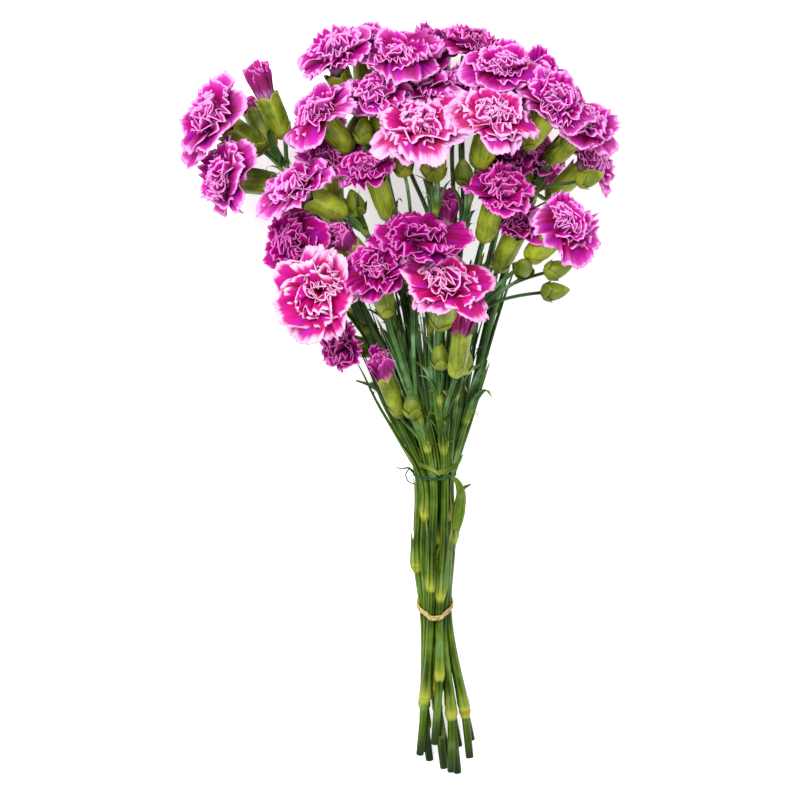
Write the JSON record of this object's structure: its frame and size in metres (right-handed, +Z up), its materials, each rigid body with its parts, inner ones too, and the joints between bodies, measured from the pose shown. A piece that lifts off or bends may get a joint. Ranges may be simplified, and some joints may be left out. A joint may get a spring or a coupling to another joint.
{
  "type": "bunch of carnations",
  "caption": "Tied bunch of cut spray carnations lying on its side: green stems, magenta frilled blooms with pale rims, closed buds, a rubber band and green twine.",
  "frame": {"origin": "on the surface under the middle of the lying bunch, centre of the bounding box seen from above", "axes": "+Y along the stems from the cut ends to the flowers, +Z up from the surface that the bunch lies on, +X across it"},
  "size_m": [0.2754, 0.4804, 0.1421],
  "materials": {
    "stem_green": "waxy blue-green stems with yellow-green knees and calyxes",
    "petals": "soft matte magenta petals, paler at the rims",
    "band_rubber": "matte tan rubber",
    "twine_green": "thin dark green twine"
  },
  "bodies": {
    "root": {"stem_01": "stem_green", "stem_02": "stem_green", "stem_03": "stem_green", "stem_04": "stem_green", "stem_05": "stem_green", "stem_06": "stem_green", "stem_07": "stem_green", "stem_08": "stem_green", "stem_09": "stem_green", "stem_10": "stem_green", "stem_11": "stem_green", "stem_12": "stem_green", "bloom_01_a": "petals", "bloom_01_b": "petals", "bloom_01_c": "petals", "bloom_01_d": "petals", "bloom_02_a": "petals", "bloom_02_b": "petals", "bloom_02_c": "petals", "bloom_02_d": "petals", "bloom_03_a": "petals", "bloom_03_b": "petals", "bloom_03_c": "petals", "bloom_03_d": "petals", "bloom_04_a": "petals", "bloom_04_b": "petals", "bloom_04_c": "petals", "bloom_04_d": "petals", "bloom_05_a": "petals", "bloom_05_b": "petals", "bloom_05_c": "petals", "bloom_06_a": "petals", "bloom_06_b": "petals", "bloom_06_c": "petals", "bloom_06_d": "petals", "bloom_06_e": "petals", "bloom_07_a": "petals", "bloom_07_b": "petals", "bloom_07_c": "petals", "bloom_08_a": "petals", "bloom_08_b": "petals", "bloom_08_c": "petals", "bloom_08_d": "petals", "bloom_08_e": "petals", "bloom_09_a": "petals", "bloom_09_b": "petals", "bloom_09_c": "petals", "bloom_09_d": "petals", "bloom_09_e": "petals", "bloom_10_a": "petals", "bloom_10_b": "petals", "bloom_10_c": "petals", "bloom_11_a": "petals", "bloom_11_b": "petals", "bloom_11_c": "petals", "bloom_12_a": "petals", "bloom_12_b": "petals", "bloom_12_c": "petals", "rubber_band": "band_rubber", "twine": "twine_green"}
  },
  "joints": []
}
